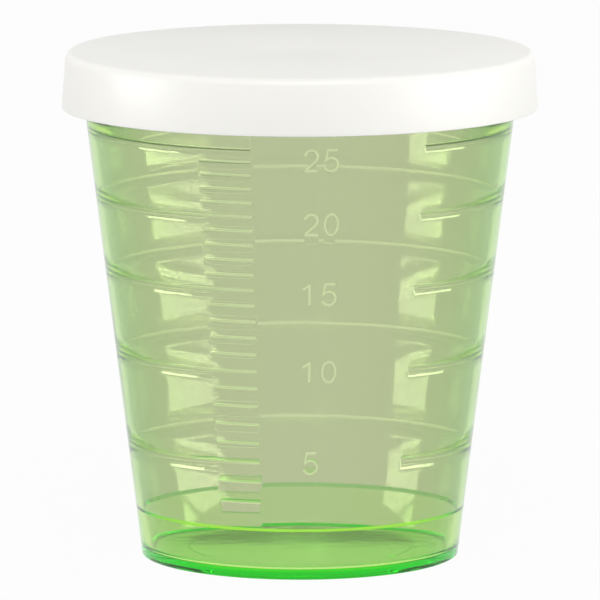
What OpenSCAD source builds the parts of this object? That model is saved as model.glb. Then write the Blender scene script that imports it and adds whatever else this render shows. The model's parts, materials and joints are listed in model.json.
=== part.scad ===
// Medicine cup with a press-on lid. The cup is one moulding in clear green plastic with
// raised millilitre lines on its inner face; the lid is one white moulding that snaps under
// the cup's rim. Millimetres, +Z up, origin at the centre of the base. The scale's open
// front faces -Y, and angles around the cup are counted from that front towards +X.

/* [Cup] */
// Outside diameter of the cup at its base
base_d = 26.5; // [24:0.1:32]
// Height of the cup, base to rim
cup_h = 41.5; // [40:0.5:50]
// Lean of the wall from upright, in degrees
wall_lean = 7.1; // [5:0.1:9]
// Thickness of the wall
wall_t = 0.6; // [0.5:0.05:0.9]
// Thickness of the floor
floor_t = 0.8; // [0.6:0.05:1.5]
// Radius of the rounded edge around the base
foot_edge_r = 0.15; // [0.1:0.05:0.8]
// Radius of the inside corner between floor and wall
floor_corner_r = 0.5; // [0.2:0.05:1.0]

/* [Ledge] */
// Height of the ledge that runs around inside the cup
ledge_z = 4.3; // [3:0.1:6]
// Width of the ledge: the wall below it is thicker by as much
ledge_w = 0.25; // [0.1:0.05:0.5]

/* [Underside] */
// Diameter of the shallow recess in the underside
recess_d = 18.8; // [10:0.2:20]
// Depth of the recess
recess_depth = 0.15; // [0.1:0.05:0.3]

/* [Rim] */
// Height of the thick band at the rim
rim_h = 0.9; // [0.6:0.05:1.4]
// Distance the rim stands out from the wall
rim_out = 0.4; // [0.3:0.05:0.8]
// Radius of the rim's outer edges
rim_edge_r = 0.25; // [0.1:0.05:0.28]

/* [Scale] */
// Volume between two numbered lines, in millilitres
ring_step_ml = 5; // [5:5:10]
// Least height between the highest line and the lid's edge above it
scale_headroom = 0.9; // [0.5:0.1:3]
// Volume of the lowest short line, in millilitres
low_tick_ml = 3; // [2:1:4]
// Angle right of the front at which the long lines begin, in degrees
ring_from = 36; // [30:0.5:60]
// Angle left of the front at which all the lines end, in degrees
scale_end = 13.5; // [12:0.5:20]
// Angle left of the front at which the short lines begin, in degrees
tick_from = 28.5; // [24:0.5:40]
// Distance the lines stand in from the wall's inner face
line_out = 0.1; // [0.06:0.02:0.2]
// Width of a long line at its foot
ring_w = 0.24; // [0.16:0.02:0.4]
// Width of a short line at its foot
tick_w = 0.28; // [0.16:0.02:0.4]

/* [Lid] */
// Thickness of the lid's top panel
panel_t = 0.8; // [0.6:0.05:1.5]
// Thickness of the lid's skirt
skirt_t = 0.7; // [0.5:0.05:1.0]
// Height of the lid from its top to the skirt's lower edge
lid_h = 4.7; // [4:0.1:8]
// Lean of the skirt from upright, in degrees
skirt_lean = 4.5; // [1:0.5:5]
// Radius of the lid's rounded top edge
lid_edge_r = 0.7; // [0.4:0.1:1.3]
// Gap between the cup's rim and the lid's skirt
rim_gap = 0.12; // [0.05:0.01:0.2]
// Distance the snap bead reaches in under the cup's rim
snap_bite = 0.2; // [0.1:0.05:0.25]
// Height of the snap bead
snap_h = 0.7; // [0.5:0.05:1.0]
// Gap between the snap bead and the rim above it
snap_gap = 0.1; // [0.05:0.01:0.2]
// Diameter of the gate dimple in the middle of the top
dimple_d = 4.4; // [2:0.2:8]
// Depth of the gate dimple
dimple_depth = 0.2; // [0.1:0.05:0.3]

/* [Hidden] */
$fn = 128;

// Growth of the radius for each millimetre of height, and the wall's level thickness
slope = tan(wall_lean);
wall_run = wall_t / cos(wall_lean);
base_r = base_d / 2;
lid_top_z = cup_h + panel_t;
skirt_z = lid_top_z - lid_h;
rim_under_z = cup_h - rim_h;
rim_r = outer_r(rim_under_z) + rim_out;

// How far a line's root is sunk in the wall, and how much narrower its crest is
line_root = wall_t / 3;
crest_share = 0.6;
// Extra length that carries a cut clear of the face it opens
over = 1;

// Radius of the wall's outer and inner face at a height
function outer_r(z) = base_r + slope * z;
function inner_r(z) = outer_r(z) - wall_run;

// Volume of a round space whose wall leans, from radius a up to radius b, in cubic mm
function cone_volume(a, b) = PI * (pow(b, 3) - pow(a, 3)) / (3 * slope);

// Space that the thicker wall below the ledge takes from the cup
ledge_volume = cone_volume(inner_r(floor_t), inner_r(ledge_z))
    - cone_volume(inner_r(floor_t) - ledge_w, inner_r(ledge_z) - ledge_w);

// Height at which the cup holds a volume in millilitres
function fill_z(ml) =
    (pow(pow(inner_r(floor_t), 3) + 3 * slope * (1000 * ml + ledge_volume) / PI, 1 / 3)
        - inner_r(0)) / slope;

// Highest whole millilitre whose line still clears the lid's edge
top_ml = floor((cone_volume(inner_r(floor_t), inner_r(skirt_z - scale_headroom))
    - ledge_volume) / 1000);

// Half section of a round body that leans outwards, from radius r0 at height z0 up to z1,
// with its lower corner rounded by edge_r
module leaning_half(r0, z0, z1, lean, edge_r) {
    arc_x = r0 - edge_r * tan(45 - lean / 2);
    polygon([
        [0, z0],
        [arc_x, z0],
        [arc_x + edge_r * cos(lean), z0 + edge_r * (1 - sin(lean))],
        [r0 + tan(lean) * (z1 - z0), z1],
        [0, z1]
    ]);
    translate([arc_x, z0 + edge_r]) circle(edge_r);
}

// Half section of the thick rim, with two rounded outer edges
module rim_half() {
    in_r = inner_r(cup_h) + wall_run / 2;
    translate([in_r, rim_under_z + rim_edge_r])
        square([rim_r - in_r, rim_h - 2 * rim_edge_r]);
    translate([in_r, rim_under_z]) square([rim_r - rim_edge_r - in_r, rim_h]);
    for (z = [rim_under_z + rim_edge_r, cup_h - rim_edge_r])
        translate([rim_r - rim_edge_r, z]) circle(rim_edge_r);
}

// Half section of the space inside the cup, narrower below the ledge
module inside_half() {
    leaning_half(inner_r(floor_t) - ledge_w, floor_t, ledge_z + over, wall_lean, floor_corner_r);
    polygon([
        [0, ledge_z],
        [inner_r(ledge_z), ledge_z],
        [inner_r(cup_h + over), cup_h + over],
        [0, cup_h + over]
    ]);
}

// The cup's plain body, turned from its half section
module cup_body() {
    rotate_extrude() difference() {
        union() {
            leaning_half(base_r, 0, cup_h, wall_lean, foot_edge_r);
            rim_half();
        }
        inside_half();
        translate([0, -over]) square([recess_d / 2, over + recess_depth]);
    }
}

// A raised line around the wall's inner face at a height, from one angle to another
module raised_line(z, w, from, to) {
    crest = w * crest_share / 2;
    rotate([0, 0, from - 90]) rotate_extrude(angle = to - from)
        translate([inner_r(z), z]) rotate(-wall_lean) polygon([
            [line_root, -w / 2],
            [0, -w / 2],
            [-line_out, -crest],
            [-line_out, crest],
            [0, w / 2],
            [line_root, w / 2]
        ]);
}

// Long lines at the numbered volumes and short lines at the millilitres between them
module scale_lines() {
    for (ml = [ring_step_ml : ring_step_ml : top_ml])
        raised_line(fill_z(ml), ring_w, ring_from, 360 - scale_end);
    for (ml = [low_tick_ml : top_ml])
        if (ml % ring_step_ml != 0)
            raised_line(fill_z(ml), tick_w, 360 - tick_from, 360 - scale_end);
}

module cup() {
    color("yellowgreen", 0.6) {
        cup_body();
        scale_lines();
    }
}

// Outer radius of the lid's skirt at a height: its inside clears the cup's rim by rim_gap
function skirt_out_r(z) = rim_r + rim_gap + skirt_t + tan(skirt_lean) * (cup_h - z);
function skirt_in_r(z) = skirt_out_r(z) - skirt_t;

// Half section of the lid's outside, with its rounded top edge
module lid_outside_half() {
    top_r = skirt_out_r(lid_top_z);
    arc_x = top_r - lid_edge_r * tan(45 - skirt_lean / 2);
    arc_z = lid_top_z - lid_edge_r;
    polygon([
        [0, skirt_z],
        [skirt_out_r(skirt_z), skirt_z],
        [arc_x + lid_edge_r * cos(skirt_lean), arc_z + lid_edge_r * sin(skirt_lean)],
        [arc_x, lid_top_z],
        [0, lid_top_z]
    ]);
    translate([arc_x, arc_z]) circle(lid_edge_r);
}

// Half section of the space under the lid, with the snap bead left standing in it
module lid_inside_half() {
    snap_r = rim_r - snap_bite;
    snap_top = rim_under_z - snap_gap;
    polygon([
        [0, skirt_z - over],
        [skirt_in_r(skirt_z), skirt_z - over],
        [skirt_in_r(skirt_z), skirt_z],
        [skirt_in_r(snap_top - snap_h), snap_top - snap_h],
        [snap_r, snap_top - snap_h / 2],
        [snap_r, snap_top - snap_h / 4],
        [skirt_in_r(snap_top), snap_top],
        [skirt_in_r(cup_h), cup_h],
        [0, cup_h]
    ]);
}

// The round-bottomed gate dimple, a slice of a ball of the right radius
module gate_dimple() {
    ball_r = (pow(dimple_d / 2, 2) + pow(dimple_depth, 2)) / (2 * dimple_depth);
    translate([0, 0, lid_top_z - dimple_depth + ball_r]) sphere(ball_r);
}

module lid() {
    color("whitesmoke") difference() {
        rotate_extrude() difference() {
            lid_outside_half();
            lid_inside_half();
        }
        gate_dimple();
    }
}

cup();
lid();
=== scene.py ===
"""Looks of a graduated medicine cup and its press-on lid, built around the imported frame.

The cup is one closed mesh: its section is spun, the millilitre lines are raised out of its
inner face and the numerals are joined on there. The lid is spun too. Lengths are in metres,
+Z is up, and the numbered side of the scale faces -Y. Angles around the cup are counted from
that front towards +X.
"""

import json
import math
from itertools import count

import bmesh
import bpy
from bpy.props import (
    FloatProperty,
    FloatVectorProperty,
    IntProperty,
    PointerProperty,
    StringProperty,
)
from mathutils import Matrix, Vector

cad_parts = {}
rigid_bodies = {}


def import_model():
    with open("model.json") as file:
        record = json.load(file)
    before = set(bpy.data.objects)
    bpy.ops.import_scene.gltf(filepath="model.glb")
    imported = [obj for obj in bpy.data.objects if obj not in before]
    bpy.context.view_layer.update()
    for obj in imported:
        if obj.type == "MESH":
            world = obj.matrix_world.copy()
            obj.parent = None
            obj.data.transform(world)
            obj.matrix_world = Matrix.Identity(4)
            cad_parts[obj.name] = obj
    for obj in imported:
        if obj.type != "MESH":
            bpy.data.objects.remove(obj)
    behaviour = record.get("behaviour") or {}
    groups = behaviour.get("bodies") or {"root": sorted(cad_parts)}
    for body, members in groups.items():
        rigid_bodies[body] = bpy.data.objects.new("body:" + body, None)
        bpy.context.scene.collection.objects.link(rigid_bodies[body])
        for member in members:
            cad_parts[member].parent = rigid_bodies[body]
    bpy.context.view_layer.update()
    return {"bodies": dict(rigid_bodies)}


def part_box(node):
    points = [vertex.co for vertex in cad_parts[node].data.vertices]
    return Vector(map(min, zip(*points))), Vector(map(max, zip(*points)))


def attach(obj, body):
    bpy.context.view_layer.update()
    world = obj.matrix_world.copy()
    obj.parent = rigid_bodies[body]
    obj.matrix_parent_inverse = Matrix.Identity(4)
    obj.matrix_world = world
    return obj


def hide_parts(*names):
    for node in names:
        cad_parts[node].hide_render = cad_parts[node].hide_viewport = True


bl_info = {
    "name": "Medicine cup",
    "version": (1, 0, 0),
    "blender": (4, 5, 0),
    "location": "View3D > Sidebar > Medicine cup",
    "description": "Builds the looks of a graduated medicine cup and its lid",
    "category": "Add Mesh",
}

MM = 0.001
MILLILITRE = 1e-6

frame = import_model()
BODY = next(iter(frame["bodies"]))
CUP_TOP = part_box("cup")[1].z
LID_LOW, LID_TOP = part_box("lid")[0].z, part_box("lid")[1].z

# Points closer than this are one point
WELD = 0.5e-6
# Facets around the cup and lid: each is 0.75 degrees wide, and the scale's ends fall between
TURN_STEPS = 480
# Facets along each rounded edge of the two outlines
FOOT_PARTS = 6
RIM_PARTS = 4
CORNER_PARTS = 3
SNAP_PARTS = 6
LID_EDGE_PARTS = 10
DIMPLE_PARTS = 10

# How far the side of the recess leans in
RECESS_DRAFT = 0.1 * MM
# A spun face this far in from the inner face, or less, still counts as the wall's
WALL_SLACK = 0.05 * MM
# Steps of a line's ridge: the share of its full height, and how far its top narrows there
RIDGE_STEPS = ((0.28, 0.85), (0.58, 0.765), (0.84, 0.615), (1.0, 0.375))
# A 1 starts this much earlier than another numeral and is this wide, in numeral widths
ONE_SHIFT = 0.12
ONE_WIDTH = 0.84
# The lowest numbers, this many, are level with their lines, and the others drop bit by bit
LEVEL_NUMBERS = 2
# Edges that turn less than this look smooth, in degrees
CUP_SMOOTH = 40
LID_SMOOTH = 30

# Strength of the deeper tint at a glancing angle: a higher power keeps it nearer the outline
GLANCE_POWER = 2.0

# Share of the paper floor that is seen as plain white: the rest holds the soft shadow
WHITE_SHARE = 0.96
WORLD_LEVEL = 0.6
FLOOR_WIDE = 6
FLOOR_DROP = 0.01 * MM
# Each soft box: name, degrees from the camera's side and above the floor, distance, width and
# height in metres, and brightness
SOFT_BOXES = (
    ("left_box", -83, 4, 1.2, 0.64, 0.17, 9.0),
    ("right_box", 81, 4, 1.2, 0.97, 0.17, 9.0),
    ("front_box", 0, 42, 1.3, 0.9, 0.6, 3.0),
)
# Point that the soft boxes face
CUP_MIDDLE = (0, 0, 0.02)
FAR_CLIP = 20
# Light may turn many times inside a clear wall before it leaves
MOST_BOUNCES = 32
MOST_CLEAR_BOUNCES = 24


def length(name, description, default_mm):
    """A size that a user may change, shown as a distance."""
    return FloatProperty(
        name=name, description=description, default=default_mm * MM, unit="LENGTH", precision=5
    )


def angle(name, description, default_deg):
    """An angle that a user may change."""
    return FloatProperty(
        name=name, description=description, default=math.radians(default_deg), unit="ROTATION"
    )


class CupSize(bpy.types.PropertyGroup):
    """Sizes of the cup's plain body."""

    base_d: length("Base diameter", "Outside diameter of the cup at its base", 26.5)
    lean: angle("Wall lean", "Lean of the wall from upright", 7.1)
    wall: length("Wall", "Thickness of the wall", 0.6)
    floor: length("Floor", "Thickness of the floor", 0.8)
    foot_edge: length("Foot edge", "Radius of the rounded edge around the base", 0.1)
    floor_corner: length("Floor corner", "Radius between floor and wall, inside", 0.5)
    ledge_z: length("Ledge height", "Height of the ledge inside the cup", 4.3)
    ledge_w: length("Ledge width", "Width of the ledge inside the cup", 0.25)
    ledge_drop: length("Ledge drop", "Height over which the ledge slopes inwards", 0.25)
    mouth_edge: length("Mouth edge", "Radius of the rim's inner edge", 0.08)
    recess_d: length("Recess diameter", "Diameter of the recess in the underside", 18.8)
    recess_depth: length("Recess depth", "Depth of the recess in the underside", 0.15)
    rim_h: length("Rim height", "Height of the thick band at the rim", 0.9)
    rim_out: length("Rim width", "Distance the rim stands out from the wall", 0.4)
    rim_edge: length("Rim edge", "Radius of the rim's outer edges", 0.25)


class ScaleSize(bpy.types.PropertyGroup):
    """Sizes of the raised millilitre lines and numerals."""

    step_ml: IntProperty(
        name="Numbered step", description="Millilitres between numbered lines", default=5
    )
    low_ml: IntProperty(
        name="Lowest line", description="Millilitres at the lowest short line", default=3
    )
    headroom: length("Headroom", "Least height between the top line and the lid", 0.9)
    ring_from: angle("Long lines begin", "Angle right of the front", 36)
    scale_end: angle("Lines end", "Angle left of the front", 13.5)
    tick_from: angle("Short lines begin", "Angle left of the front", 28.5)
    line_out: length("Line height", "Distance the lines stand in from the inner face", 0.035)
    ring_w: length("Long line width", "Width of a long line at its foot", 0.24)
    tick_w: length("Short line width", "Width of a short line at its foot", 0.28)
    digit_h: length("Numeral height", "Height of a numeral between its strokes' middles", 1.75)
    digit_w: length("Numeral width", "Width of a numeral between its strokes' middles", 1.07)
    digit_gap: length("Numeral gap", "Gap between two numerals' strokes' middles", 0.56)
    stroke: length("Stroke", "Diameter of the bar that a numeral's stroke shows part of", 0.6)
    stroke_out: length("Stroke height", "Distance the numerals stand in", 0.035)
    digits_at: angle("Numerals begin", "Angle right of the front", 1.3)
    digit_drop: length("Numeral drop", "Drop of each number below its line from 15 up", 0.3)


class LidSize(bpy.types.PropertyGroup):
    """Sizes of the lid."""

    panel: length("Panel", "Thickness of the top panel", 0.8)
    skirt: length("Skirt", "Thickness of the skirt", 0.7)
    lean: angle("Skirt lean", "Lean of the skirt from upright", 4.5)
    edge: length("Edge radius", "Radius of the rounded top edge", 0.7)
    crease: angle("Crease", "Turn between the flat top and the rounded edge", 20)
    low_edge: length("Lower edge radius", "Radius of the skirt's lower edges", 0.1)
    rim_gap: length("Rim gap", "Gap between the cup's rim and the skirt", 0.12)
    snap_bite: length("Snap bite", "Reach of the snap bead under the rim", 0.2)
    snap_h: length("Snap height", "Height of the snap bead", 0.7)
    snap_gap: length("Snap gap", "Gap between the snap bead and the rim", 0.1)
    dimple_d: length("Dimple diameter", "Diameter of the gate dimple", 4.4)
    dimple_depth: length("Dimple depth", "Depth of the gate dimple", 0.2)


class Finish(bpy.types.PropertyGroup):
    """Colours of the two plastics and the paper floor, with the cup's painted shade and
    highlight.
    """

    cup_hex: StringProperty(
        name="Outside", description="Tint of the cup's outer face, sRGB hex", default="F3F3F3"
    )
    # Painted shade: a grey tint on the inner face that dims the view through the cup
    inside_hex: StringProperty(
        name="Inside", description="Tint of the cup's inner face, sRGB hex", default="C9C9C9"
    )
    side_hex: StringProperty(
        name="Sides", description="Tint of the cup at a glancing angle, sRGB hex",
        default="54B044",
    )
    # Painted shade: a pale green on the cup's floor that stands in for the green shade the cup
    # casts on the paper under it
    foot_hex: StringProperty(
        name="Foot", description="Tint of the floor's surface, sRGB hex", default="C0F2B4"
    )
    # Painted shade: the inside below the ledge is painted greener for the green shade under the
    # cup; the thicker wall there is real
    low_hex: StringProperty(
        name="Low wall", description="Tint of the thicker wall below the ledge, sRGB hex",
        default="B6D2AC",
    )
    edge_hex: StringProperty(
        name="Plate edge", description="Tint of the floor's outer edge, sRGB hex",
        default="00D800",
    )
    # Painted shade: a darker green on the ledge's slope draws the dark line seen at the ledge
    ledge_hex: StringProperty(
        name="Ledge", description="Tint of the ledge's slope, sRGB hex", default="7CC07C"
    )
    # Partly painted highlight: the lines are left white where the inner face around them is
    # painted grey, so they look paler; their matt finish is real
    line_hex: StringProperty(
        name="Lines", description="Tint of the raised lines, sRGB hex", default="FFFFFF"
    )
    line_rough: FloatProperty(
        name="Line roughness", description="Roughness of the raised lines", default=0.2
    )
    cup_depth_hex: StringProperty(
        name="Cup depth", description="Colour that thick plastic soaks up to", default="E2FD0C"
    )
    cup_density: FloatProperty(
        name="Cup density", description="Strength of the plastic's colour per metre", default=500
    )
    lid_hex: StringProperty(
        name="Lid", description="Colour of the white lid, sRGB hex", default="F2F1EC"
    )
    floor_hex: StringProperty(
        name="Floor", description="Colour of the paper floor, sRGB hex", default="D6D6D6"
    )


class StageSize(bpy.types.PropertyGroup):
    """Places of the camera and the lamps."""

    eye: FloatVectorProperty(
        name="Eye", description="Place of the camera", default=(0, -0.654, 0.1203), unit="LENGTH"
    )
    aim: FloatVectorProperty(
        name="Aim", description="Point the camera looks at", default=(0, 0, 0.0213), unit="LENGTH"
    )
    lens: FloatProperty(name="Lens", description="Focal length in millimetres", default=475)


def props():
    """The scene's own settings."""
    return bpy.context.scene.medicine_cup


def arc(x, z, radius, first_deg, last_deg, parts):
    """Points of an arc around (x, z), from one angle to another, in equal parts."""
    turns = [
        math.radians(first_deg + (last_deg - first_deg) * i / parts) for i in range(parts + 1)
    ]
    return [(x + radius * math.cos(t), z + radius * math.sin(t)) for t in turns]


class Wall:
    """The cup's leaning wall: its radius at a height, and the heights of the scale."""

    def __init__(self, cup, scale):
        self.cup, self.scale = cup, scale
        self.lean = cup.lean
        self.slope = math.tan(cup.lean)
        self.run = cup.wall / math.cos(cup.lean)

    def outer(self, z):
        """Radius of the wall's outer face."""
        return self.cup.base_d / 2 + self.slope * z

    def inner(self, z):
        """Radius of the wall's inner face."""
        return self.outer(z) - self.run

    def volume(self, low, high):
        """Space of a leaning round between two radii, in cubic metres."""
        return math.pi * (high**3 - low**3) / (3 * self.slope)

    def ledge_volume(self):
        """Space that the thicker wall below the ledge takes."""
        low, high = self.inner(self.cup.floor), self.inner(self.cup.ledge_z)
        narrow = self.cup.ledge_w
        return self.volume(low, high) - self.volume(low - narrow, high - narrow)

    def fill_z(self, ml):
        """Height at which the cup holds a volume in millilitres."""
        cubed = self.inner(self.cup.floor) ** 3
        cubed += 3 * self.slope * (ml * MILLILITRE + self.ledge_volume()) / math.pi
        return (cubed ** (1 / 3) - self.inner(0)) / self.slope

    def lines(self):
        """Each line as (millilitres, height, width, first angle, last angle)."""
        scale = self.scale
        top = LID_LOW - scale.headroom
        found = []
        for ml in count(scale.low_ml):
            z = self.fill_z(ml)
            if z > top:
                break
            long_line = ml % scale.step_ml == 0
            width = scale.ring_w if long_line else scale.tick_w
            first = scale.ring_from if long_line else 2 * math.pi - scale.tick_from
            found.append((ml, z, width, first, 2 * math.pi - scale.scale_end))
        return found

    def at(self, turn, z, out):
        """Point on the inner face at an angle from the front, standing in by a distance."""
        radius = self.inner(z) - out * math.cos(self.lean)
        return Vector((
            radius * math.sin(turn),
            -radius * math.cos(turn),
            z + out * math.sin(self.lean),
        ))


def rounded_foot(radius, z, lean, edge):
    """Arc from the level face at height z to a wall that leans out from radius there."""
    x = radius - edge * math.tan(math.pi / 4 - lean / 2)
    return arc(x, z + edge, edge, -90, -math.degrees(lean), FOOT_PARTS)


def cup_outline(wall):
    """Half section of the cup, from the middle of its underside round to its floor."""
    cup = wall.cup
    rim_low = CUP_TOP - cup.rim_h
    rim_r = wall.outer(rim_low) + cup.rim_out
    edge = cup.rim_edge
    recess_r = cup.recess_d / 2
    lean_deg = math.degrees(cup.lean)
    points = [
        (0, cup.recess_depth), (recess_r - RECESS_DRAFT, cup.recess_depth), (recess_r, 0),
    ]
    points += rounded_foot(cup.base_d / 2, 0, cup.lean, cup.foot_edge)
    points.append((wall.outer(rim_low), rim_low))
    points += arc(rim_r - edge, rim_low + edge, edge, -90, 0, RIM_PARTS)
    points += arc(rim_r - edge, CUP_TOP - edge, edge, 0, 90, RIM_PARTS)
    points += arc(
        wall.inner(CUP_TOP) + cup.mouth_edge, CUP_TOP - cup.mouth_edge, cup.mouth_edge,
        90, 180 - lean_deg, CORNER_PARTS,
    )
    for _, z, width, _, _ in reversed(wall.lines()):
        half = width / 2 * math.cos(cup.lean)
        points += [(wall.inner(z + half), z + half), (wall.inner(z - half), z - half)]
    # The ledge slopes, as a core pin's shoulder does, and its two corners stay crisp
    ledge_low = cup.ledge_z - cup.ledge_drop
    points.append((wall.inner(cup.ledge_z), cup.ledge_z))
    points.append((wall.inner(ledge_low) - cup.ledge_w, ledge_low))
    inside = rounded_foot(
        wall.inner(cup.floor) - cup.ledge_w, cup.floor, cup.lean, cup.floor_corner
    )
    points += reversed(inside)
    points.append((0, cup.floor))
    return points


def lid_outline(wall, lid):
    """Half section of the lid, from the middle of its underside round to its top."""
    cup = wall.cup
    rim_low = CUP_TOP - cup.rim_h
    rim_r = wall.outer(rim_low) + cup.rim_out
    slope = math.tan(lid.lean)
    lean_deg = math.degrees(lid.lean)

    def outer(z):
        return rim_r + lid.rim_gap + lid.skirt + slope * (CUP_TOP - z)

    def inner(z):
        return outer(z) - lid.skirt

    snap_r = rim_r - lid.snap_bite
    snap_top = rim_low - lid.snap_gap
    snap_low = snap_top - lid.snap_h
    low = lid.low_edge
    points = [
        (0, CUP_TOP),
        (inner(CUP_TOP), CUP_TOP),
        (inner(snap_top), snap_top),
    ]
    bulge = inner(snap_top) - snap_r
    middle = (snap_top + snap_low) / 2
    for step in range(1, SNAP_PARTS):
        turn = math.pi * step / SNAP_PARTS
        points.append((
            inner(middle) - bulge * math.sin(turn),
            middle + lid.snap_h / 2 * math.cos(turn),
        ))
    points.append((inner(snap_low), snap_low))
    points += arc(inner(LID_LOW) + low, LID_LOW + low, low, 180, 270, CORNER_PARTS)
    points += arc(outer(LID_LOW) - low, LID_LOW + low, low, -90, lean_deg, CORNER_PARTS)
    # The edge's arc meets the flat top at a slight crease, so its top end is at top height
    end = math.pi / 2 - lid.crease
    arc_z = LID_TOP - lid.edge * math.sin(end)
    arc_x = outer(arc_z + lid.edge * math.sin(lid.lean)) - lid.edge * math.cos(lid.lean)
    points += arc(arc_x, arc_z, lid.edge, lean_deg, math.degrees(end), LID_EDGE_PARTS)
    dimple_r = lid.dimple_d / 2
    for step in range(DIMPLE_PARTS, -1, -1):
        share = step / DIMPLE_PARTS
        points.append((dimple_r * share, LID_TOP - lid.dimple_depth * (1 - share**2)))
    return points


def turn_piece(name, outline):
    """A closed turned mesh: the outline's (radius, height) points spun about the axis."""
    bpy.ops.object.select_all(action="DESELECT")
    bpy.ops.mesh.primitive_plane_add(size=MM)
    piece = bpy.context.object
    piece.name = piece.data.name = name
    bpy.ops.object.mode_set(mode="EDIT")
    bpy.ops.mesh.select_all(action="SELECT")
    bpy.ops.mesh.merge(type="CENTER")
    bpy.ops.mesh.select_all(action="SELECT")
    bpy.ops.transform.translate(value=(outline[0][0], 0, outline[0][1]))
    for (r, z), (next_r, next_z) in zip(outline, outline[1:]):
        bpy.ops.mesh.extrude_vertices_move(
            TRANSFORM_OT_translate={"value": (next_r - r, 0, next_z - z)}
        )
    bpy.ops.mesh.select_all(action="SELECT")
    bpy.ops.mesh.spin(steps=TURN_STEPS, angle=2 * math.pi, center=(0, 0, 0), axis=(0, 0, 1))
    bpy.ops.mesh.select_all(action="SELECT")
    bpy.ops.mesh.remove_doubles(threshold=WELD)
    bpy.ops.mesh.normals_make_consistent(inside=False)
    bpy.ops.mesh.select_all(action="DESELECT")
    bpy.ops.object.mode_set(mode="OBJECT")
    return piece


def angle_from_front(point):
    """Angle of a point around the axis, from the front towards +X, from 0 to a full turn."""
    return math.atan2(point.x, -point.y) % (2 * math.pi)


def raise_line(piece, wall, line):
    """Raises one millilitre line out of the inner face as a rounded ridge."""
    ml, z, width, first, last = line
    half = width / 2
    mesh = bmesh.from_edit_mesh(piece.data)
    for face in mesh.faces:
        middle = face.calc_center_median()
        level = abs(middle.z - z) < half / 2
        on_wall = level and middle.xy.length < wall.inner(z) + WALL_SLACK
        face.select = on_wall and first < angle_from_front(middle) < last
    if not any(face.select for face in mesh.faces):
        raise RuntimeError(f"the wall has no faces for the {ml} ml line")
    bmesh.update_edit_mesh(piece.data)
    out = 0
    for rise, narrow in RIDGE_STEPS:
        step = rise * wall.scale.line_out - out
        out += step
        bpy.ops.mesh.extrude_region_shrink_fatten(
            MESH_OT_extrude_region={}, TRANSFORM_OT_shrink_fatten={"value": step}
        )
        bpy.ops.transform.resize(
            value=(1, 1, narrow), orient_type="GLOBAL",
            center_override=(0, 0, z + out * math.sin(wall.lean)),
        )
    bpy.ops.mesh.select_all(action="DESELECT")


def ellipse(x, y, wide, high, first_deg, last_deg, parts=14):
    """Points of an ellipse's arc, in a numeral's unit box."""
    turns = [
        math.radians(first_deg + (last_deg - first_deg) * i / parts) for i in range(parts + 1)
    ]
    return [(x + wide * math.cos(t), y + high * math.sin(t)) for t in turns]


def digit_strokes(digit):
    """Middle lines of a plain numeral's strokes, in a box one wide and one high."""
    if digit == "0":
        return [ellipse(0.5, 0.5, 0.5, 0.5, 90, 450, 32)[:-1]]
    if digit == "1":
        return [[(0.5, 1.0), (0.5, 0.0)], [(0.5, 0.98), (0.24, 0.83), (0.0, 0.75)]]
    if digit == "2":
        return [
            ellipse(0.5, 0.7, 0.48, 0.3, 170, -40, 16) + [(0.04, 0.04)],
            [(0.0, 0.0), (1.0, 0.0)],
        ]
    if digit == "5":
        return [
            [(0.16, 1.0), (0.94, 1.0)],
            [(0.2, 1.0), (0.06, 0.46)],
            ellipse(0.47, 0.32, 0.53, 0.32, 146, -158, 18),
        ]
    raise ValueError(f"no strokes for numeral {digit}")


def stroke_on_wall(wall, path, turn, z, closed):
    """One stroke as a closed round bar that follows the wall."""
    scale = wall.scale
    curve = bpy.data.curves.new("stroke", "CURVE")
    curve.dimensions = "3D"
    spline = curve.splines.new("POLY")
    spline.points.add(len(path) - 1)
    spline.use_cyclic_u = closed
    sunk = scale.stroke_out - scale.stroke / 2
    for point, (x, y) in zip(spline.points, path):
        high = z + (y - 0.5) * scale.digit_h * math.cos(wall.lean)
        aside = turn + x * scale.digit_w / wall.inner(z)
        point.co = (*wall.at(aside, high, sunk), 1)
    curve.bevel_depth = scale.stroke / 2
    curve.bevel_resolution = 3
    curve.use_fill_caps = True
    bar = bpy.data.objects.new(curve.name, curve)
    bpy.context.scene.collection.objects.link(bar)
    bpy.ops.object.select_all(action="DESELECT")
    bar.select_set(True)
    bpy.context.view_layer.objects.active = bar
    bpy.ops.object.convert(target="MESH")
    bar = bpy.context.object
    bpy.ops.object.mode_set(mode="EDIT")
    bpy.ops.mesh.select_all(action="SELECT")
    bpy.ops.mesh.remove_doubles(threshold=WELD)
    bpy.ops.mesh.normals_make_consistent(inside=False)
    bpy.ops.object.mode_set(mode="OBJECT")
    return bar


def join_numerals(piece, wall):
    """Joins the numbered lines' numerals on to the cup."""
    scale = wall.scale
    for ml, z, _, _, _ in wall.lines():
        if ml % scale.step_ml:
            continue
        middle = z - scale.digit_drop * max(0, ml / scale.step_ml - LEVEL_NUMBERS)
        turn = scale.digits_at
        for digit in str(ml):
            narrow = digit == "1"
            start = turn - (ONE_SHIFT * scale.digit_w / wall.inner(middle) if narrow else 0)
            for path in digit_strokes(digit):
                join_on(piece, stroke_on_wall(wall, path, start, middle, digit == "0"))
            advance = scale.digit_w * (ONE_WIDTH if narrow else 1) + scale.digit_gap
            turn += advance / wall.inner(middle)


def join_on(piece, added):
    """Joins a closed mesh on to another as one solid skin."""
    union = piece.modifiers.new("join", "BOOLEAN")
    union.operation = "UNION"
    union.solver = "MANIFOLD"
    union.object = added
    bpy.ops.object.select_all(action="DESELECT")
    piece.select_set(True)
    bpy.context.view_layer.objects.active = piece
    bpy.ops.object.modifier_apply(modifier=union.name)
    bpy.data.objects.remove(added)


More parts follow.
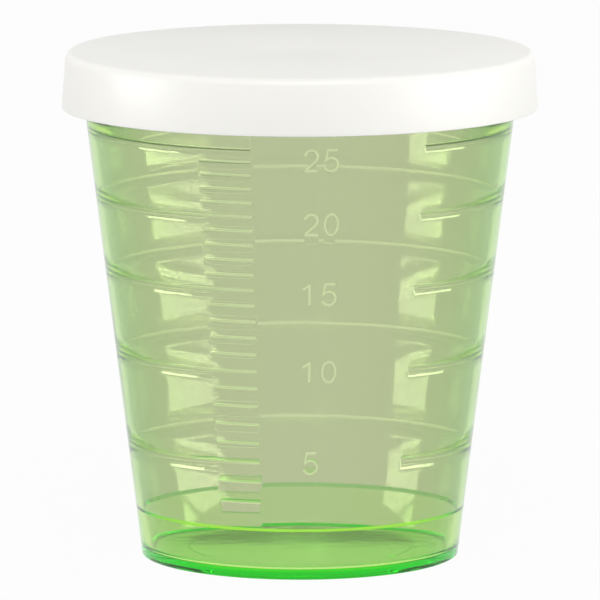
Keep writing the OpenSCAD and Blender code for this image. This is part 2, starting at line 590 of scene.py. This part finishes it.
def finish_piece(piece, node, material, smooth_deg):
    """Smooths a piece, gives it its material and puts it in its node's place."""
    bpy.ops.object.select_all(action="DESELECT")
    piece.select_set(True)
    bpy.context.view_layer.objects.active = piece
    bpy.ops.object.shade_smooth_by_angle(angle=math.radians(smooth_deg))
    piece.data.materials.clear()
    piece.data.materials.append(material)
    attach(piece, BODY)
    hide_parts(node)


def linear(hex_colour):
    """An sRGB hex colour as linear red, green, blue and a full alpha."""
    shares = [int(hex_colour[i:i + 2], 16) / 255 for i in (0, 2, 4)]
    return [s / 12.92 if s <= 0.04045 else ((s + 0.055) / 1.055) ** 2.4 for s in shares] + [1]


def new_material(name):
    """An empty material and its node tree."""
    material = bpy.data.materials.new(name)
    material.use_nodes = True
    material.node_tree.nodes.clear()
    return material, material.node_tree


def add(tree, kind, inputs=None, **settings):
    """Adds a node: settings are its own properties, inputs are values or other sockets."""
    new = tree.nodes.new(kind)
    for name, value in settings.items():
        setattr(new, name, value)
    for name, value in (inputs or {}).items():
        if isinstance(value, bpy.types.NodeSocket):
            tree.links.new(value, new.inputs[name])
        else:
            new.inputs[name].default_value = value
    return new


def clear_green_plastic(finish, wall):
    """Clarified polypropylene, moulded in a polished tool: clear, glossy and tinted green all
    through, so thin walls look pale and the floor's edge looks deep green. The lines and
    numerals are cut in the tool's core and left matt, so they catch the light, and they are
    kept white on an inner face painted grey, so their pale look is partly a painted highlight.
    Painted shade: the grey inner face, the greener low wall and floor for the green shade the
    cup casts on the paper under it, and a dark green line on the ledge's slope."""
    material, tree = new_material("clear_green_polypropylene")
    place = add(tree, "ShaderNodeTexCoord").outputs["Object"]
    height = add(tree, "ShaderNodeSeparateXYZ", {"Vector": place}).outputs["Z"]
    level = add(tree, "ShaderNodeMapping", {"Vector": place, "Scale": (1, 1, 0)})
    radius = add(
        tree, "ShaderNodeVectorMath", {0: level.outputs["Vector"]}, operation="LENGTH"
    ).outputs["Value"]
    inner = add(tree, "ShaderNodeMath", {0: height, 1: wall.slope, 2: wall.inner(0)},
                operation="MULTIPLY_ADD").outputs[0]
    stands = add(tree, "ShaderNodeMath", {0: inner, 1: radius}, operation="SUBTRACT").outputs[0]
    # Light goes a longer way through the wall at a glancing angle, so the sides look deeper
    glance = add(tree, "ShaderNodeLayerWeight", {"Blend": 0.5}).outputs["Facing"]
    masks = {
        "glancing": add(
            tree, "ShaderNodeMath", {0: glance, 1: GLANCE_POWER}, operation="POWER"
        ).outputs[0],
    }
    # Each mask grows from nothing at the first distance to full at the second
    cup = wall.cup
    ledge_low = cup.ledge_z - cup.ledge_drop
    for name, value, nothing, full in (
        ("inside", stands, -0.3 * MM, -0.1 * MM),
        ("outside", stands, -0.1 * MM, -0.3 * MM),
        ("standing in", stands, 0.004 * MM, 0.014 * MM),
        ("above ledge", height, cup.ledge_z, cup.ledge_z + 0.1 * MM),
        ("below ledge", height, cup.ledge_z, ledge_low),
        ("ledge foot", height, ledge_low - 0.06 * MM, ledge_low - 0.01 * MM),
        ("ledge head", height, cup.ledge_z + 0.05 * MM, cup.ledge_z),
        ("near floor", height, cup.floor + 0.25 * MM, cup.floor + 0.05 * MM),
        ("plate", height, cup.floor - 0.05 * MM, cup.floor - 0.15 * MM),
    ):
        masks[name] = add(tree, "ShaderNodeMapRange", {
            "Value": value, "From Min": nothing, "From Max": full,
        }).outputs["Result"]
    # The low wall, floor and ledge masks place painted shade, and the line mask places the lines'
    # matt finish and partly painted highlight
    for name, first, second in (
        ("line", "standing in", "above ledge"),
        ("low wall shade", "below ledge", "inside"),
        ("floor", "near floor", "inside"),
        ("plate edge", "plate", "outside"),
        ("ledge height", "ledge foot", "ledge head"),
        ("ledge", "ledge height", "inside"),
    ):
        masks[name] = add(
            tree, "ShaderNodeMath", {0: masks[first], 1: masks[second]}, operation="MULTIPLY"
        ).outputs[0]
    # The inner face's grey, the low wall's and floor's green and the ledge's dark green are
    # painted shade, and the lines' white is partly a painted highlight
    tint = linear(finish.cup_hex)
    for name, hex_colour in (
        ("inside", finish.inside_hex),
        ("glancing", finish.side_hex),
        ("low wall shade", finish.low_hex),
        ("floor", finish.foot_hex),
        ("plate edge", finish.edge_hex),
        ("ledge", finish.ledge_hex),
        ("line", finish.line_hex),
    ):
        tint = add(
            tree, "ShaderNodeMix", {0: masks[name], 6: tint, 7: linear(hex_colour)},
            data_type="RGBA",
        ).outputs[2]
    # Flow ripples about 3 mm wide that run up the wall
    along = add(tree, "ShaderNodeMapping", {"Vector": place, "Scale": (1, 1, 0.1)})
    ripple = add(tree, "ShaderNodeTexNoise", {
        "Vector": along.outputs["Vector"], "Scale": 1 / (3 * MM), "Detail": 1.5,
    })
    bump = add(tree, "ShaderNodeBump", {
        "Strength": 0.5, "Distance": 0.05 * MM, "Height": ripple.outputs["Fac"],
    })
    # Handling haze in soft patches about 4 mm wide
    haze = add(tree, "ShaderNodeTexNoise", {"Vector": place, "Scale": 1 / (4 * MM), "Detail": 3})
    polish = add(tree, "ShaderNodeMapRange", {
        "Value": haze.outputs["Fac"], "From Min": 0.3, "From Max": 0.7,
        "To Min": 0.02, "To Max": 0.06,
    })
    rough = add(tree, "ShaderNodeMath", {
        0: masks["line"], 1: finish.line_rough, 2: polish.outputs["Result"],
    }, operation="MULTIPLY_ADD")
    shader = add(tree, "ShaderNodeBsdfPrincipled", {
        "Base Color": tint, "Roughness": rough.outputs[0],
        "IOR": 1.5, "Transmission Weight": 1, "Normal": bump.outputs["Normal"],
    })
    depth = add(tree, "ShaderNodeVolumeAbsorption", {
        "Color": linear(finish.cup_depth_hex), "Density": finish.cup_density,
    })
    add(tree, "ShaderNodeOutputMaterial", {
        "Surface": shader.outputs["BSDF"], "Volume": depth.outputs["Volume"],
    })
    return material


def white_lid_plastic(finish):
    """White polypropylene, moulded in a finely sparked tool: an even satin sheen over a milky
    body that lets a little light bleed through its edges."""
    material, tree = new_material("white_polypropylene")
    place = add(tree, "ShaderNodeTexCoord").outputs["Object"]
    # Spark grain 0.15 mm across: the real one is finer and wouldn't show
    grain = add(tree, "ShaderNodeTexNoise", {
        "Vector": place, "Scale": 1 / (0.15 * MM), "Detail": 2,
    })
    # Slow sink marks about 9 mm across
    sink = add(tree, "ShaderNodeTexNoise", {"Vector": place, "Scale": 1 / (9 * MM), "Detail": 1})
    fine = add(tree, "ShaderNodeBump", {
        "Strength": 0.15, "Distance": 0.01 * MM, "Height": grain.outputs["Fac"],
    })
    bump = add(tree, "ShaderNodeBump", {
        "Strength": 0.4, "Distance": 0.05 * MM, "Height": sink.outputs["Fac"],
        "Normal": fine.outputs["Normal"],
    })
    rough = add(tree, "ShaderNodeMapRange", {
        "Value": sink.outputs["Fac"], "From Min": 0.3, "From Max": 0.7,
        "To Min": 0.34, "To Max": 0.42,
    })
    shader = add(tree, "ShaderNodeBsdfPrincipled", {
        "Base Color": linear(finish.lid_hex), "Roughness": rough.outputs["Result"],
        "IOR": 1.49, "Subsurface Weight": 0.2, "Subsurface Radius": (1, 1, 1),
        "Subsurface Scale": 0.6 * MM, "Normal": bump.outputs["Normal"],
    })
    add(tree, "ShaderNodeOutputMaterial", {"Surface": shader.outputs["BSDF"]})
    return material


def seen_white(tree):
    """1 for a ray that the camera, a gloss or a clear piece sends out, and 0 for light."""
    path = add(tree, "ShaderNodeLightPath")
    total = path.outputs["Is Camera Ray"]
    for name in ("Is Glossy Ray", "Is Transmission Ray"):
        total = add(
            tree, "ShaderNodeMath", {0: total, 1: path.outputs[name]}, operation="MAXIMUM"
        ).outputs[0]
    return total


def paper_floor(finish):
    """White background paper, matt, mostly seen as plain white with a soft shadow left in it."""
    material, tree = new_material("background_paper")
    paper = add(tree, "ShaderNodeBsdfDiffuse", {"Color": linear(finish.floor_hex)})
    glow = add(tree, "ShaderNodeEmission", {"Color": (1, 1, 1, 1), "Strength": 1})
    share = add(tree, "ShaderNodeMath", {0: seen_white(tree), 1: WHITE_SHARE},
                operation="MULTIPLY")
    mix = add(tree, "ShaderNodeMixShader", {
        "Fac": share.outputs[0], 1: paper.outputs["BSDF"], 2: glow.outputs["Emission"],
    })
    add(tree, "ShaderNodeOutputMaterial", {"Surface": mix.outputs["Shader"]})
    return material


def soft_world():
    """A plain studio: even light all round, and white where it is seen."""
    world = bpy.data.worlds.new("studio")
    bpy.context.scene.world = world
    world.use_nodes = True
    tree = world.node_tree
    tree.nodes.clear()
    light = add(tree, "ShaderNodeBackground", {"Color": (1, 1, 1, 1), "Strength": WORLD_LEVEL})
    white = add(tree, "ShaderNodeBackground", {"Color": (1, 1, 1, 1), "Strength": 1})
    mix = add(tree, "ShaderNodeMixShader", {
        "Fac": seen_white(tree), 1: light.outputs["Background"], 2: white.outputs["Background"],
    })
    add(tree, "ShaderNodeOutputWorld", {"Surface": mix.outputs["Shader"]})


def look(place, aim):
    """Turn that points an object at place towards aim."""
    return (Vector(aim) - Vector(place)).to_track_quat("-Z", "Y").to_euler()


def soft_box(name, turn_deg, rise_deg, far, wide, high, brightness):
    """A soft box at an angle from the camera's side and above the floor, facing the cup."""
    turn, rise = math.radians(turn_deg), math.radians(rise_deg)
    place = Vector((
        far * math.sin(turn) * math.cos(rise),
        -far * math.cos(turn) * math.cos(rise),
        far * math.sin(rise),
    ))
    bpy.ops.object.light_add(type="AREA", location=place, rotation=look(place, CUP_MIDDLE))
    lamp = bpy.context.object
    lamp.name = name
    lamp.data.shape = "RECTANGLE"
    lamp.data.size, lamp.data.size_y = wide, high
    # Brightness is the box's own radiance, which for an area lamp is power over 4 areas
    lamp.data.energy = brightness * 4 * wide * high


class MEDCUP_OT_cup(bpy.types.Operator):
    """Model the cup: body, raised lines and numerals."""

    bl_idname = "medcup.cup"
    bl_label = "Cup"

    def execute(self, context):
        settings = props()
        wall = Wall(settings.cup, settings.scale)
        cup = turn_piece("clear_cup", cup_outline(wall))
        bpy.ops.object.mode_set(mode="EDIT")
        bpy.ops.mesh.select_mode(type="FACE")
        for line in wall.lines():
            raise_line(cup, wall, line)
        bpy.ops.object.mode_set(mode="OBJECT")
        join_numerals(cup, wall)
        finish_piece(cup, "cup", clear_green_plastic(settings.finish, wall), CUP_SMOOTH)
        return {"FINISHED"}


class MEDCUP_OT_lid(bpy.types.Operator):
    """Model the lid."""

    bl_idname = "medcup.lid"
    bl_label = "Lid"

    def execute(self, context):
        settings = props()
        wall = Wall(settings.cup, settings.scale)
        lid = turn_piece("white_lid", lid_outline(wall, settings.lid))
        finish_piece(lid, "lid", white_lid_plastic(settings.finish), LID_SMOOTH)
        return {"FINISHED"}


class MEDCUP_OT_stage(bpy.types.Operator):
    """Set the floor, the studio light and the camera."""

    bl_idname = "medcup.stage"
    bl_label = "Stage"

    def execute(self, context):
        settings = props()
        bpy.ops.object.select_all(action="DESELECT")
        bpy.ops.mesh.primitive_plane_add(size=FLOOR_WIDE, location=(0, 0, -FLOOR_DROP))
        floor = bpy.context.object
        floor.name = "paper_floor"
        floor.data.materials.append(paper_floor(settings.finish))
        soft_world()
        for box in SOFT_BOXES:
            soft_box(*box)
        cycles = context.scene.cycles
        cycles.max_bounces = MOST_BOUNCES
        cycles.glossy_bounces = cycles.transmission_bounces = MOST_CLEAR_BOUNCES
        stage = settings.stage
        bpy.ops.object.camera_add(location=stage.eye, rotation=look(stage.eye, stage.aim))
        camera = bpy.context.object
        camera.data.lens = stage.lens
        camera.data.clip_end = FAR_CLIP
        context.scene.camera = camera
        context.scene.view_settings.view_transform = "Standard"
        return {"FINISHED"}


class MedicineCup(bpy.types.PropertyGroup):
    """All the settings, kept on the scene."""

    cup: PointerProperty(type=CupSize)
    scale: PointerProperty(type=ScaleSize)
    lid: PointerProperty(type=LidSize)
    finish: PointerProperty(type=Finish)
    stage: PointerProperty(type=StageSize)


OPERATORS = (MEDCUP_OT_cup, MEDCUP_OT_lid, MEDCUP_OT_stage)


class MEDCUP_PT_panel(bpy.types.Panel):
    """Panel that lists the operators."""

    bl_label = "Medicine cup"
    bl_idname = "MEDCUP_PT_panel"
    bl_space_type = "VIEW_3D"
    bl_region_type = "UI"
    bl_category = "Medicine cup"

    def draw(self, context):
        for operator in OPERATORS:
            self.layout.operator(operator.bl_idname)


CLASSES = (
    CupSize, ScaleSize, LidSize, Finish, StageSize, MedicineCup, *OPERATORS, MEDCUP_PT_panel,
)


def register():
    for cls in CLASSES:
        bpy.utils.register_class(cls)
    bpy.types.Scene.medicine_cup = PointerProperty(type=MedicineCup)


def unregister():
    del bpy.types.Scene.medicine_cup
    for cls in reversed(CLASSES):
        bpy.utils.unregister_class(cls)


def main():
    register()
    bpy.ops.medcup.cup()
    bpy.ops.medcup.lid()
    bpy.ops.medcup.stage()


if __name__ == "__main__":
    main()
